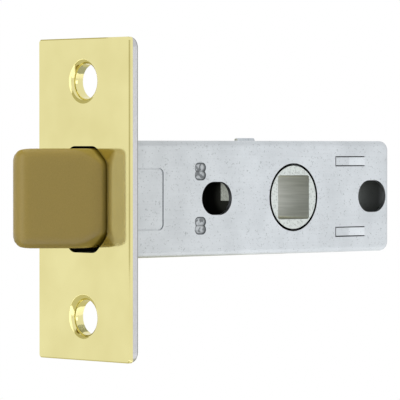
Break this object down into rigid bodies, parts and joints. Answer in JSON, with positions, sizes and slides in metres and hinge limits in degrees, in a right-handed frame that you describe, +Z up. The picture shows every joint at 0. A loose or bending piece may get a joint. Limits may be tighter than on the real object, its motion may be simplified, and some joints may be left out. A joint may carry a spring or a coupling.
{
  "type": "door latch",
  "caption": "Tubular door latch with a bevelled spring bolt, screw-fixed faceplate, drawn steel case and a follower for a square spindle.",
  "frame": {"origin": "centre of the faceplate's front face, midway between its screw holes", "axes": "+X into the door along the case, Y along the spindle, +Z up the faceplate"},
  "size_m": [0.0835, 0.0242, 0.057],
  "materials": {
    "plated_brass": "polished brass plate on sheet",
    "galvanised_sheet": "galvanised, rolled",
    "zinc_plate": "bright zinc plate",
    "bolt_polymer": "moulded, satin, khaki gold",
    "spring_steel": "drawn wire",
    "sintered_steel": "sintered, plated"
  },
  "bodies": {
    "case": {"faceplate": "plated_brass", "backing_plate": "zinc_plate", "case_body": "galvanised_sheet", "case_cover": "galvanised_sheet", "spring_plate": "zinc_plate", "upper_spring": "spring_steel", "lower_spring": "spring_steel"},
    "bolt": {"latch_bolt": "bolt_polymer", "slider": "zinc_plate", "upper_bolt_rivet": "zinc_plate", "lower_bolt_rivet": "zinc_plate", "upper_drive_bar": "zinc_plate", "lower_drive_bar": "zinc_plate"},
    "follower": {"follower": "sintered_steel"}
  },
  "joints": [
    {"name": "follower_turn", "type": "hinge", "parent": "case", "child": "follower", "pos_m": [0.045, 0, 0], "axis": [0, 1, 0], "range_deg": [0, 82]},
    {"name": "bolt_slide", "type": "slide", "parent": "case", "child": "bolt", "axis": [1, 0, 0], "range_m": [0, 0.012], "stiffness_N_per_m": 1300, "springref_m": -0.003, "deforming": ["upper_spring", "lower_spring"]}
  ],
  "couplings": [
    {"joint": "follower_turn", "follows": "bolt_slide", "rad_per_m": 119.26}
  ]
}
